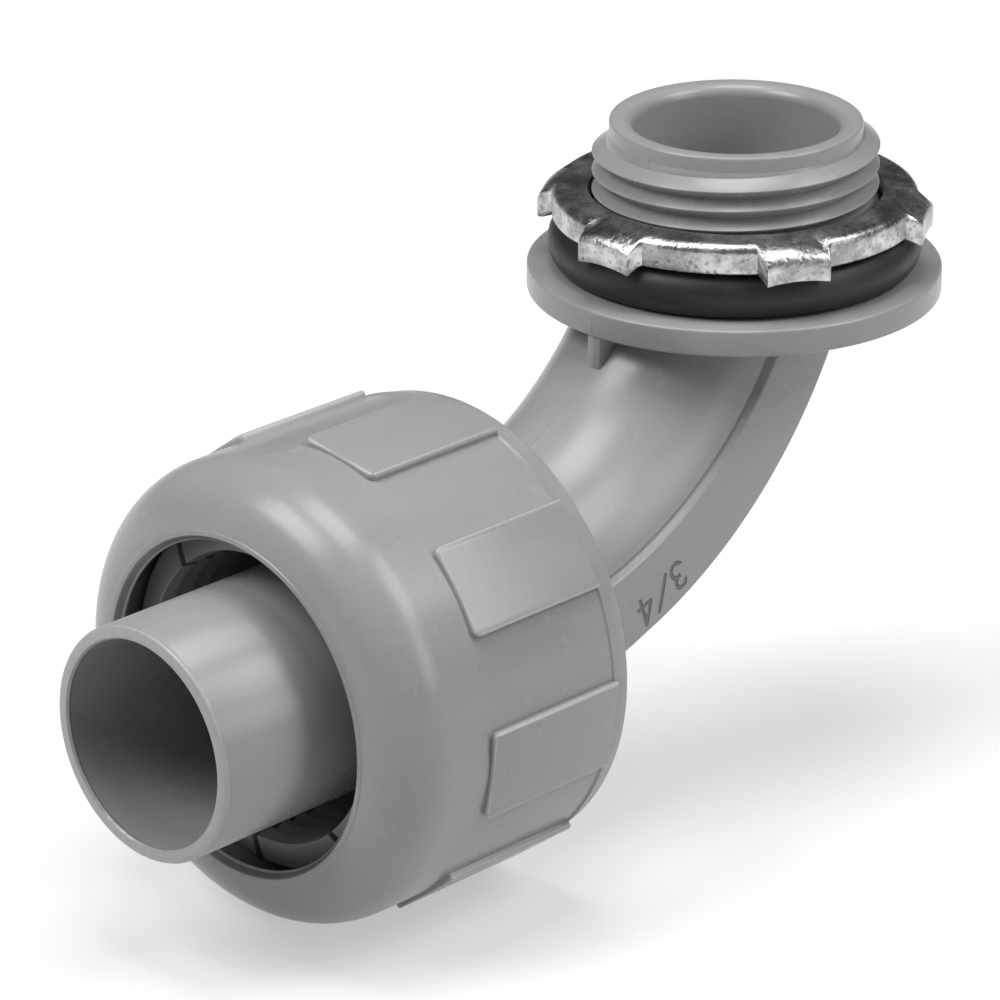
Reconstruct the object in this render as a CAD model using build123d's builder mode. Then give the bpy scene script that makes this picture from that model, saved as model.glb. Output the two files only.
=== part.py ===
from build123d import *
import math
import os

os.makedirs("parts", exist_ok=True)

# Liquid-tight conduit elbow, 3/4 inch trade size, non-metallic body.
# Frame: the hub axis is Z, the flange's sealing face is Z = 0, and the
# conduit leaves along -Y. The bend lies in the plane X = 0.

# Hub, the threaded nose that goes through the enclosure wall
hub_height = 13.62
hub_bore_radius = 9.4
hub_mouth_round = 1.1
nose_edge_round = 0.3
pilot_radius = 11.47
pilot_height = 1.9
hub_crest_radius = 13.2
hub_thread_depth = 1.35
hub_pitch = 25.4 / 14
hub_neck_height = 2.2
hub_thread_start_angle = -30.0
thread_bury = 0.5
flange_radius = 19.07
flange_thickness = 2.5
flange_edge_round = 0.45

# Bend, a round tube swept on one long arc, with a flat panel on each side
axis_drop = 24.35
bend_radius = 39.3
bend_end = bend_radius - 1.3
tube_radius = 11.2
bend_bore_radius = 8.9
bore_entry_radius = 15.0
bore_run_out = 3.0
panel_half_width = 11.5
panel_inner_radius = bend_radius - 2.3
panel_outer_radius = bend_radius + 4.2
gusset_reach = 18.8
gusset_foot = 6.4
gusset_thickness = 1.5

# Gland, the male end that the compression nut screws onto
gland_front = bend_end + 12.0
gland_crest_radius = 17.4
gland_thread_depth = 1.1
gland_pitch = 3.0
gland_thread_start = bend_end + 1.4
socket_depth = 8.5
socket_radius = 13.9
mouth_cone_radius = 15.6
mouth_cone_depth = 2.2
spigot_end = bend_end + 36.2
spigot_radius = 10.6
spigot_bore_radius = 9.36
spigot_lip = 0.35

# Compression nut
nut_rear = bend_end - 1.7
nut_front = bend_end + 25.8
nut_rear_radius = 20.9
nut_lip_width = 2.1
nut_shoulder_radius = 21.1
nut_dome_radius = 5.7
nut_mouth_radius = 15.95
nut_mouth_bead = 0.13
nut_face_inner_radius = 15.43
nut_throat_radius = 14.9
nut_throat_depth = 0.65
nut_throat_land = 0.3
nut_cavity_depth = 3.0
nut_cavity_radius = 16.6
nut_cone_radius = 18.2
pad_count = 8
pad_first_angle = 8.3
pad_width = 8.4
pad_height = 0.6
pad_root = 1.5
pad_radius = nut_shoulder_radius + pad_height
pad_length = 15.2
pad_corner_round = 0.6
pad_edge_round = 0.15
thread_clearance = 0.28

# Gripping ring inside the nut
ring_rear = bend_end + 10.7
ring_front = bend_end + 22.8
ring_bore_radius = 13.0
ring_lead_radius = 13.3
ring_lead_length = 1.1
ring_shoulder_radius = 17.2
ring_face_radius = 15.5
ring_finger_count = 8
ring_slit_angle = 3.0
ring_slit_width = 0.7
ring_slit_end = bend_end + 15.0
ring_barb_depth = 0.45
ring_barb_pitch = 2.0
ring_barb_count = 3
ring_clearance = 0.3
ring_shoulder_gap = 1.3

# Sealing ring on the flange
seal_height = 4.1
seal_outer_radius = 17.15
seal_foot_radius = 15.9
seal_top_radius = seal_foot_radius - 0.6
seal_clearance = 0.3

# Locknut
locknut_gap = 0.3
locknut_thickness = 2.8
locknut_radius = 16.8
locknut_edge_round = 0.35
lug_count = 6
lug_first_angle = 0.5
lug_outer_radius = 18.2
lug_width = 6.3
lug_droop = 0.75
lug_hollow_radius = 9.0
lug_hollow_depth = 0.35
lug_root = 1.5
lug_cut_margin = 3.0

# Shared values that follow from the ones above
pilot_base = hub_height - pilot_height
hub_root_radius = hub_crest_radius - hub_thread_depth
bend_centre_z = bend_radius - axis_drop
gland_root_radius = gland_crest_radius - gland_thread_depth
bend_side = Plane(origin=(0, 0, 0), x_dir=(0, -1, 0), z_dir=(-1, 0, 0))
nut_section = Plane(origin=(0, 0, -axis_drop), x_dir=(0, -1, 0), z_dir=(-1, 0, 0))
nut_axis = Axis((0, 0, -axis_drop), (0, -1, 0))


def nut_cross_plane(distance):
    """Plane square to the nut axis, with X to the right and Y pointing up."""
    origin = (0, -distance, -axis_drop)
    return Plane(origin=origin, x_dir=(1, 0, 0), z_dir=(0, -1, 0))


def thread_ridge(root_radius, crest_radius, pitch, turns, crest_flat=0.1, root_land=0.12):
    """One helical V ridge about Z, its first crest at Z = 0 on the X axis."""
    half_root = pitch / 2 - root_land
    buried_radius = root_radius - thread_bury
    with BuildPart() as ridge:
        with BuildLine() as path:
            Helix(pitch, pitch * turns, root_radius)
        with BuildSketch(Plane.XZ):
            with BuildLine():
                Polyline(
                    (buried_radius, -half_root),
                    (crest_radius, -crest_flat),
                    (crest_radius, crest_flat),
                    (buried_radius, half_root),
                    close=True,
                )
            make_face()
        sweep(path=path.line, is_frenet=True)
    return ridge.part


# Hub thread: the helix starts in the plain neck and fades out at the pilot ring
hub_thread_base = hub_neck_height - hub_pitch * 2 / 15
hub_thread_turns = (pilot_base - hub_thread_base) / hub_pitch
hub_ridge = thread_ridge(hub_root_radius, hub_crest_radius, hub_pitch, hub_thread_turns)
hub_ridge = Pos(0, 0, hub_thread_base) * Rot(0, 0, hub_thread_start_angle) * hub_ridge

# Gland thread, coarse, cut by the same rule and laid along the nut axis
gland_thread_length = gland_front - 1.6 - gland_thread_start
gland_thread_turns = gland_thread_length / gland_pitch
gland_ridge = thread_ridge(
    gland_root_radius, gland_crest_radius, gland_pitch, gland_thread_turns, 0.35, 0.3
)
gland_ridge = nut_cross_plane(gland_thread_start).location * gland_ridge

# Threaded length of the hub: a plain core with its ridge, turned off at both ends
with BuildPart() as hub_thread:
    with BuildSketch():
        Circle(hub_root_radius)
    extrude(amount=pilot_base + hub_pitch)
    add(hub_ridge)
    with BuildSketch(Plane.XZ):
        with BuildLine():
            Polyline(
                (0, hub_neck_height / 2),
                (hub_crest_radius - 0.8, hub_neck_height / 2),
                (hub_crest_radius + 0.2, hub_neck_height + 0.6),
                (hub_crest_radius + 0.2, pilot_base - 0.4),
                (pilot_radius - 0.2, pilot_base + 0.55),
                (0, pilot_base + 0.55),
                close=True,
            )
        make_face()
    revolve(axis=Axis.Z, mode=Mode.INTERSECT)

# Hub and flange, turned about Z
with BuildPart() as hub:
    with BuildSketch(Plane.XZ):
        with BuildLine():
            Polyline(
                (0, -flange_thickness),
                (flange_radius, -flange_thickness),
                (flange_radius, 0),
                (hub_crest_radius - 0.3, 0),
                (hub_crest_radius - 0.3, hub_neck_height),
                (pilot_radius, hub_neck_height),
                (pilot_radius, hub_height),
                (0, hub_height),
                close=True,
            )
        make_face()
    revolve(axis=Axis.Z)
    rim = hub.edges().filter_by(GeomType.CIRCLE).filter_by(
        lambda edge: edge.radius > flange_radius - 0.01
    )
    fillet(rim, flange_edge_round)
    with BuildSketch(Plane.XY.offset(pilot_base)):
        Circle(hub_bore_radius)
    extrude(amount=pilot_height, mode=Mode.SUBTRACT)
    nose_edges = hub.faces().sort_by(Axis.Z)[-1].edges().sort_by(SortBy.RADIUS)
    fillet(nose_edges[0], hub_mouth_round)
    fillet(nose_edges[-1], nose_edge_round)

# The tube, its two flat panels and the gusset, trimmed at the flange
with BuildPart() as bend:
    with BuildLine(bend_side) as sweep_path:
        CenterArc((bend_end, bend_centre_z), bend_radius, 270, -76)
    with BuildSketch(Plane(origin=(0, -bend_end, -axis_drop), z_dir=(0, 1, 0))):
        Circle(tube_radius)
    sweep(path=sweep_path.line)
    with BuildSketch(bend_side):
        with Locations((bend_end, bend_centre_z)):
            Circle(panel_outer_radius)
            Circle(panel_inner_radius, mode=Mode.SUBTRACT)
        with Locations((-flange_radius, 0)):
            Rectangle(
                bend_end + flange_radius,
                axis_drop + tube_radius,
                align=(Align.MIN, Align.MAX),
                mode=Mode.INTERSECT,
            )
    extrude(amount=panel_half_width, both=True)
    with BuildSketch(bend_side):
        with BuildLine():
            Polyline(
                (tube_radius, 0),
                (gusset_reach, 0),
                (gusset_reach, -gusset_foot),
                (tube_radius, -gusset_foot),
                close=True,
            )
        make_face()
    extrude(amount=gusset_thickness / 2, both=True)
    split(bisect_by=Plane.XY.offset(-flange_thickness / 2), keep=Keep.BOTTOM)

with BuildPart() as gland:
    with BuildSketch(nut_section):
        with BuildLine():
            Polyline(
                (bend_end - 0.6, 0),
                (bend_end - 0.6, tube_radius - 0.8),
                (bend_end + 0.6, gland_root_radius),
                (gland_front, gland_root_radius),
                (gland_front, mouth_cone_radius),
                (gland_front - mouth_cone_depth, socket_radius),
                (gland_front - socket_depth, socket_radius),
                (gland_front - socket_depth, spigot_radius),
                (spigot_end - spigot_lip, spigot_radius),
                (spigot_end, spigot_radius - spigot_lip),
                (spigot_end, 0),
                close=True,
            )
        make_face()
    revolve(axis=nut_axis)
    add(gland_ridge)

# Where the small entry arc meets the long arc of the bend
centre_distance = bend_radius - bore_entry_radius
entry_rise = math.sqrt(centre_distance**2 - (bend_end - bore_entry_radius) ** 2)
entry_turn = math.degrees(math.asin(entry_rise / centre_distance))
entry_top = bend_centre_z - entry_rise

with BuildPart() as passage:
    with BuildLine(bend_side) as passage_path:
        Line((0, hub_height), (0, entry_top))
        CenterArc((bore_entry_radius, entry_top), bore_entry_radius, 180, entry_turn)
        CenterArc((bend_end, bend_centre_z), bend_radius, 180 + entry_turn, 90 - entry_turn)
        Line((bend_end, -axis_drop), (bend_end + bore_run_out, -axis_drop))
    with BuildSketch(Plane.XY.offset(hub_height)):
        Circle(bend_bore_radius)
    sweep(path=passage_path.line)
    with BuildSketch(Plane.XY.offset(entry_top)):
        Circle(hub_bore_radius)
    extrude(amount=hub_height - entry_top)
    with BuildSketch(nut_cross_plane(bend_end + 1)):
        Circle(spigot_bore_radius)
    extrude(amount=spigot_end - bend_end - 1)

with BuildPart() as elbow_body:
    add(hub.part)
    add(hub_thread.part)
    add(bend.part)
    add(gland.part)
    add(passage.part, mode=Mode.SUBTRACT)
elbow_body.part.label = "elbow_body"
export_step(elbow_body.part, "parts/elbow_body.step")

# Compression nut: turned shell, raised grip pads, internal thread
nut_dome_centre = nut_shoulder_radius - nut_dome_radius
nut_dome_end = nut_front - nut_mouth_bead
nut_dome_reach = math.sqrt(nut_dome_radius**2 - (nut_mouth_radius - nut_dome_centre) ** 2)
nut_dome_start = nut_dome_end - nut_dome_reach
nut_bore_radius = gland_crest_radius + thread_clearance + 0.3
nut_cone_start = gland_front + 1.4
nut_lip_end = nut_rear + nut_lip_width

with BuildPart() as nut_shell:
    with BuildSketch(nut_section):
        with BuildLine():
            Polyline(
                (nut_rear, nut_bore_radius),
                (nut_rear, nut_rear_radius),
                (nut_lip_end, nut_rear_radius),
                (nut_lip_end, nut_shoulder_radius),
                (nut_dome_start, nut_shoulder_radius),
            )
            RadiusArc(
                (nut_dome_start, nut_shoulder_radius),
                (nut_dome_end, nut_mouth_radius),
                nut_dome_radius,
            )
            Polyline(
                (nut_dome_end, nut_mouth_radius),
                (nut_front, nut_mouth_radius - nut_mouth_bead),
                (nut_front, nut_face_inner_radius),
                (nut_front - nut_throat_depth, nut_throat_radius),
                (nut_front - nut_throat_depth - nut_throat_land, nut_throat_radius),
                (nut_front - nut_cavity_depth, nut_cavity_radius),
                (nut_cone_start, nut_cone_radius),
                (nut_cone_start - 1.0, nut_bore_radius),
                (nut_rear, nut_bore_radius),
            )
        make_face()
    revolve(axis=nut_axis)

# One grip pad: a curved plate with rounded front corners, standing on the shell
pad_middle = nut_lip_end + pad_length / 2
with BuildPart() as pad:
    with BuildSketch(Plane.XY.offset(nut_shoulder_radius - pad_root)):
        with Locations((0, -pad_middle)):
            Rectangle(pad_width, pad_length)
    extrude(amount=2 * pad_root)
    fillet(pad.edges().filter_by(Axis.Z).sort_by(Axis.Y)[:2], pad_corner_round)
    with BuildSketch(Plane.XZ):
        Circle(pad_radius)
    extrude(amount=nut_front, mode=Mode.INTERSECT)
    pad_top = pad.faces().filter_by(GeomType.CYLINDER).sort_by(SortBy.AREA)[-1]
    fillet(pad_top.edges(), pad_edge_round)

with BuildPart() as compression_nut:
    add(nut_shell.part)
    for index in range(pad_count):
        angle = pad_first_angle + index * 360 / pad_count
        add(Pos(0, 0, -axis_drop) * Rot(0, angle, 0) * pad.part)
compression_nut.part.label = "compression_nut"
export_step(compression_nut.part, "parts/compression_nut.step")

# Gripping ring: turned wedge ring, barbed bore, slit into fingers from the front
ring_nose = socket_radius + 0.25
ring_shoulder = gland_front + ring_shoulder_gap
with BuildPart() as clamp_ring:
    with BuildSketch(nut_section):
        with BuildLine():
            Polyline(
                (ring_rear, ring_bore_radius),
                (ring_rear, ring_nose),
                (ring_shoulder, mouth_cone_radius - ring_clearance),
                (ring_shoulder, ring_shoulder_radius),
                (ring_shoulder + 2.5, ring_shoulder_radius),
                (ring_front - 1.0, ring_face_radius + 0.45),
                (ring_front - 0.7, ring_face_radius),
                (ring_front, ring_lead_radius),
                (ring_front - ring_lead_length, ring_bore_radius),
                close=True,
            )
        make_face()
    revolve(axis=nut_axis)
    for index in range(ring_barb_count):
        groove = ring_front - 2.4 - index * ring_barb_pitch
        with BuildSketch(nut_section):
            with BuildLine():
                Polyline(
                    (groove, ring_bore_radius - 0.1),
                    (groove, ring_bore_radius + ring_barb_depth),
                    (groove - ring_barb_pitch + 0.5, ring_bore_radius - 0.1),
                    close=True,
                )
            make_face()
        revolve(axis=nut_axis, mode=Mode.SUBTRACT)
    for index in range(ring_finger_count):
        angle = ring_slit_angle + index * 360 / ring_finger_count
        plane = nut_cross_plane(ring_slit_end)
        with BuildSketch(plane):
            with Locations(Rot(0, 0, 90 - angle)):
                Rectangle(ring_shoulder_radius + 1, ring_slit_width, align=(Align.MIN, Align.CENTER))
        extrude(amount=ring_front - ring_slit_end + 1, mode=Mode.SUBTRACT)
clamp_ring.part.label = "clamp_ring"
export_step(clamp_ring.part, "parts/clamp_ring.step")

# Sealing ring, a moulded rubber ring with a flat foot and a round outer side
with BuildPart() as sealing_ring:
    inner = hub_crest_radius + seal_clearance
    with BuildSketch(Plane.XZ):
        with BuildLine():
            Polyline(
                (seal_foot_radius, 0),
                (inner, 0),
                (inner, seal_height),
                (seal_top_radius, seal_height),
            )
            ThreePointArc(
                (seal_top_radius, seal_height),
                (seal_outer_radius, seal_height * 0.48),
                (seal_foot_radius, 0),
            )
        make_face()
    revolve(axis=Axis.Z)
sealing_ring.part.label = "sealing_ring"
export_step(sealing_ring.part, "parts/sealing_ring.step")

# Locknut: a pressed steel ring with six bent lugs and a threaded bore
locknut_base = seal_height + locknut_gap
locknut_top = locknut_base + locknut_thickness
locknut_bore_radius = hub_crest_radius + thread_clearance
with BuildPart() as lug:
    with BuildSketch(Plane.XZ):
        with BuildLine():
            Polyline(
                (locknut_radius - lug_root, locknut_base),
                (locknut_radius - 0.4, locknut_base),
                (lug_outer_radius, locknut_base - lug_droop),
                (lug_outer_radius, locknut_top - lug_droop - 0.2),
                (locknut_radius - 0.4, locknut_top),
                (locknut_radius - lug_root, locknut_top),
                close=True,
            )
        make_face()
    extrude(amount=lug_width / 2, both=True)
    hollow_centre = lug_outer_radius - lug_hollow_depth + lug_hollow_radius
    with BuildSketch(Plane.XY.offset(locknut_base - lug_cut_margin)):
        with Locations((hollow_centre, 0)):
            Circle(lug_hollow_radius)
    extrude(amount=locknut_thickness + 2 * lug_cut_margin, mode=Mode.SUBTRACT)
    fillet(lug.faces().sort_by(Axis.X)[-1].edges(), 0.2)

with BuildPart() as locknut:
    with BuildSketch(Plane.XZ):
        with BuildLine():
            Polyline(
                (locknut_bore_radius + 0.5, locknut_base),
                (locknut_radius, locknut_base),
                (locknut_radius, locknut_top),
                (locknut_bore_radius + 0.5, locknut_top),
                (locknut_bore_radius, locknut_top - 0.5),
                (locknut_bore_radius, locknut_base + 0.5),
                close=True,
            )
        make_face()
    revolve(axis=Axis.Z)
    rim = locknut.edges().filter_by(GeomType.CIRCLE).filter_by(
        lambda edge: edge.radius > locknut_radius - 0.01
    )
    fillet(rim, locknut_edge_round)
    for index in range(lug_count):
        angle = -90 + lug_first_angle + index * 360 / lug_count
        add(Rot(0, 0, angle) * lug.part)
locknut.part.label = "locknut"
export_step(locknut.part, "parts/locknut.step")
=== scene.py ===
"""Liquid-tight conduit elbow: the finish of every piece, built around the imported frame."""

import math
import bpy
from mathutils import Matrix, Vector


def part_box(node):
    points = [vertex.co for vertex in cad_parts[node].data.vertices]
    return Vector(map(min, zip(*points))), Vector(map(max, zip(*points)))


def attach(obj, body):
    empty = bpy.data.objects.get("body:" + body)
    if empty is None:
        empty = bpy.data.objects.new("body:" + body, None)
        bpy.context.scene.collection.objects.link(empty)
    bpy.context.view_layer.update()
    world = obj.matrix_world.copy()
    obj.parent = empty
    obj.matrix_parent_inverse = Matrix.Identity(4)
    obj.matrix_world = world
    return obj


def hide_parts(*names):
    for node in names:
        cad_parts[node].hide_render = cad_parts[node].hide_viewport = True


bl_info = {
    "name": "Conduit elbow looks",
    "version": (1, 0, 0),
    "blender": (4, 5, 0),
    "location": "View3D > Sidebar > Conduit elbow",
    "description": "Builds the visible pieces of a liquid-tight conduit elbow around its CAD frame",
    "category": "Add Mesh",
}

import bmesh
import bpy
from mathutils import Matrix, Vector

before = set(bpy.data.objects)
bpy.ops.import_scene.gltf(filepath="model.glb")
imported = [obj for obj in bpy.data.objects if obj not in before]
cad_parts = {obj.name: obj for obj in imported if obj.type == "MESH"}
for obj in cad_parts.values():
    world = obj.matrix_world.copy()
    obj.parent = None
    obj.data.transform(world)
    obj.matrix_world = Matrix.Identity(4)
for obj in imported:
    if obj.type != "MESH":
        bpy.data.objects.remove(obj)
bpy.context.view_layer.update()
MM = 0.001

# The nut's axis runs along -Y, this far below the flange's sealing face
NUT_LOW, NUT_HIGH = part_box("compression_nut")
AXIS_DROP = -(NUT_LOW.z + NUT_HIGH.z) / 2
NUT_CENTRE = Vector((0, 0, -AXIS_DROP))
NUT_AXIS = Vector((0, -1, 0))

# Turn of the first grip pad from straight up
PAD_START = math.radians(8.3)

# Narrowest radius inside the nut's mouth
THROAT = 14.9 * MM

# Edges that bend more than this are shaded sharp
SHARP_ANGLE = math.radians(32.0)


class HubSizes(bpy.types.PropertyGroup):
    """Sizes of the threaded hub and the flange."""

    height: bpy.props.FloatProperty(
        name="Hub height", description="Top of the nose above the flange", default=13.62 * MM, unit="LENGTH"
    )
    bore: bpy.props.FloatProperty(
        name="Bore radius", description="Wire way through the hub", default=9.4 * MM, unit="LENGTH"
    )
    nose: bpy.props.FloatProperty(
        name="Nose radius", description="Plain ring above the thread", default=11.58 * MM, unit="LENGTH"
    )
    nose_height: bpy.props.FloatProperty(
        name="Nose height", description="Height of the plain ring", default=1.9 * MM, unit="LENGTH"
    )
    crest: bpy.props.FloatProperty(
        name="Crest radius", description="Thread radius over the crests", default=13.2 * MM, unit="LENGTH"
    )
    depth: bpy.props.FloatProperty(
        name="Thread depth", description="From crest to root", default=1.35 * MM, unit="LENGTH"
    )
    pitch: bpy.props.FloatProperty(
        name="Thread pitch", description="14 threads per inch", default=25.4 * MM / 14, unit="LENGTH"
    )
    neck: bpy.props.FloatProperty(
        name="Neck height", description="Plain neck under the thread", default=2.2 * MM, unit="LENGTH"
    )
    flange: bpy.props.FloatProperty(
        name="Flange radius", description="Outer radius of the flange", default=19.07 * MM, unit="LENGTH"
    )
    flange_depth: bpy.props.FloatProperty(
        name="Flange thickness", description="Thickness of the flange", default=2.5 * MM, unit="LENGTH"
    )


class BendSizes(bpy.types.PropertyGroup):
    """Sizes of the swept bend, its side panels and the spigot."""

    radius: bpy.props.FloatProperty(
        name="Bend radius", description="Radius of the bend's centreline", default=39.3 * MM, unit="LENGTH"
    )
    end: bpy.props.FloatProperty(
        name="Bend end", description="Where the bend meets the nut's axis", default=38.0 * MM, unit="LENGTH"
    )
    tube: bpy.props.FloatProperty(
        name="Tube radius", description="Outer radius of the bend", default=11.2 * MM, unit="LENGTH"
    )
    bore: bpy.props.FloatProperty(
        name="Bend bore", description="Inner radius of the bend", default=8.9 * MM, unit="LENGTH"
    )
    panel: bpy.props.FloatProperty(
        name="Panel half width", description="Flat panel's distance from the middle", default=11.5 * MM,
        unit="LENGTH",
    )
    panel_inner: bpy.props.FloatProperty(
        name="Panel inner radius", description="Panel edge nearest the bend's centre", default=37.0 * MM,
        unit="LENGTH",
    )
    panel_outer: bpy.props.FloatProperty(
        name="Panel outer radius", description="Panel edge on the outside", default=43.85 * MM, unit="LENGTH"
    )
    gusset_reach: bpy.props.FloatProperty(
        name="Gusset reach", description="Gusset's front edge from the hub axis", default=18.8 * MM,
        unit="LENGTH",
    )
    gusset_foot: bpy.props.FloatProperty(
        name="Gusset foot", description="Gusset's foot below the sealing face", default=6.4 * MM,
        unit="LENGTH",
    )
    number_angle: bpy.props.FloatProperty(
        name="Number angle", description="Where the size number stands on the bend",
        default=math.radians(247.0), subtype="ANGLE",
    )
    number_radius: bpy.props.FloatProperty(
        name="Number radius", description="Middle of the size number from the bend's centre",
        default=41.45 * MM, unit="LENGTH",
    )
    spigot: bpy.props.FloatProperty(
        name="Spigot radius", description="Outer radius of the spigot", default=10.6 * MM, unit="LENGTH"
    )
    spigot_bore: bpy.props.FloatProperty(
        name="Spigot bore", description="Inner radius of the spigot", default=9.36 * MM, unit="LENGTH"
    )
    spigot_end: bpy.props.FloatProperty(
        name="Spigot end", description="Spigot's mouth from the hub axis", default=74.2 * MM, unit="LENGTH"
    )


class NutSizes(bpy.types.PropertyGroup):
    """Sizes of the compression nut."""

    rear: bpy.props.FloatProperty(
        name="Rear face", description="Rear face from the hub axis", default=36.3 * MM, unit="LENGTH"
    )
    front: bpy.props.FloatProperty(
        name="Front face", description="Mouth from the hub axis", default=63.8 * MM, unit="LENGTH"
    )
    lip_width: bpy.props.FloatProperty(
        name="Lip width", description="Width of the rear lip", default=2.1 * MM, unit="LENGTH"
    )
    shoulder: bpy.props.FloatProperty(
        name="Shoulder radius", description="Radius of the body", default=21.1 * MM, unit="LENGTH"
    )
    dome: bpy.props.FloatProperty(
        name="Dome radius", description="Rounding of the front shoulder", default=5.7 * MM, unit="LENGTH"
    )
    mouth: bpy.props.FloatProperty(
        name="Mouth radius", description="Radius of the mouth", default=15.95 * MM, unit="LENGTH"
    )
    pads: bpy.props.IntProperty(name="Grip pads", description="How many raised pads", default=8, min=2)
    pad_width: bpy.props.FloatProperty(
        name="Pad width", description="Width of a grip pad", default=8.4 * MM, unit="LENGTH"
    )
    pad_length: bpy.props.FloatProperty(
        name="Pad length", description="Length of a grip pad", default=15.2 * MM, unit="LENGTH"
    )
    pad_height: bpy.props.FloatProperty(
        name="Pad height", description="How far a pad stands out", default=0.6 * MM, unit="LENGTH"
    )
    pad_sink: bpy.props.FloatProperty(
        name="Pad sink", description="How far the middle of a flat pad lies under its height",
        default=0.25 * MM, unit="LENGTH",
    )


class RingSizes(bpy.types.PropertyGroup):
    """Sizes of the gripping ring, the sealing ring and the locknut."""

    fingers: bpy.props.IntProperty(
        name="Fingers", description="Fingers of the gripping ring", default=8, min=2
    )
    slit: bpy.props.FloatProperty(
        name="Slit width", description="Gap between two fingers", default=0.7 * MM, unit="LENGTH"
    )
    lugs: bpy.props.IntProperty(name="Lugs", description="Lugs of the locknut", default=6, min=3)
    lug_reach: bpy.props.FloatProperty(
        name="Lug reach", description="How far a lug stands out", default=1.4 * MM, unit="LENGTH"
    )
    lug_width: bpy.props.FloatProperty(
        name="Lug width", description="Width of a lug", default=6.3 * MM, unit="LENGTH"
    )


class FinishColours(bpy.types.PropertyGroup):
    """Colours of the finishes."""

    plastic: bpy.props.FloatVectorProperty(
        name="Plastic", description="Moulded grey plastic", subtype="COLOR", size=3,
        default=(0.32, 0.32, 0.32),
    )
    rubber: bpy.props.FloatVectorProperty(
        name="Rubber", description="Black sealing rubber", subtype="COLOR", size=3,
        default=(0.018, 0.018, 0.018),
    )
    zinc: bpy.props.FloatVectorProperty(
        name="Zinc", description="Zinc plating on steel", subtype="COLOR", size=3, default=(0.72, 0.72, 0.72)
    )
    floor: bpy.props.FloatVectorProperty(
        name="Floor", description="Plain pale floor", subtype="COLOR", size=3, default=(0.55, 0.55, 0.55)
    )


# Shader maths


class Sock:
    """A shader socket or a number in an expression; each operator adds its Math node."""

    def __init__(self, tree, value):
        self.tree = tree
        self.value = value

    def node(self, kind, settings=(), **inputs):
        """Adds a node, sets its settings first, then its inputs, and returns the node."""
        made = self.tree.nodes.new(kind)
        for name, value in dict(settings).items():
            setattr(made, name, value)
        for key, value in inputs.items():
            numbered = key[0] == "i" and key[1:].isdigit()
            socket = made.inputs[int(key[1:])] if numbered else made.inputs[key.replace("_", " ")]
            if isinstance(value, Sock):
                value = value.value
            if isinstance(value, bpy.types.NodeSocket):
                self.tree.links.new(value, socket)
            else:
                socket.default_value = value
        return made

    def maths(self, operation, other=0.0):
        """A Math node on this value and another."""
        made = self.node("ShaderNodeMath", {"operation": operation}, i0=self, i1=other)
        return Sock(self.tree, made.outputs[0])

    def __add__(self, other):
        return self.maths("ADD", other)

    def __mul__(self, other):
        return self.maths("MULTIPLY", other)

    def __sub__(self, other):
        return self.maths("SUBTRACT", other)

    def __rsub__(self, other):
        made = self.node("ShaderNodeMath", {"operation": "SUBTRACT"}, i0=other, i1=self)
        return Sock(self.tree, made.outputs[0])

    def __truediv__(self, other):
        return self.maths("DIVIDE", other)

    def __pow__(self, other):
        return self.maths("POWER", other)

    def clip(self):
        """This value kept between 0 and 1."""
        made = self.node("ShaderNodeClamp", (), Value=self)
        return Sock(self.tree, made.outputs[0])

    def step(self, low, high):
        """0 below low, 1 above high, smooth between."""
        smooth = {"interpolation_type": "SMOOTHSTEP"}
        made = self.node("ShaderNodeMapRange", smooth, Value=self, From_Min=low, From_Max=high)
        return Sock(self.tree, made.outputs[0])


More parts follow.
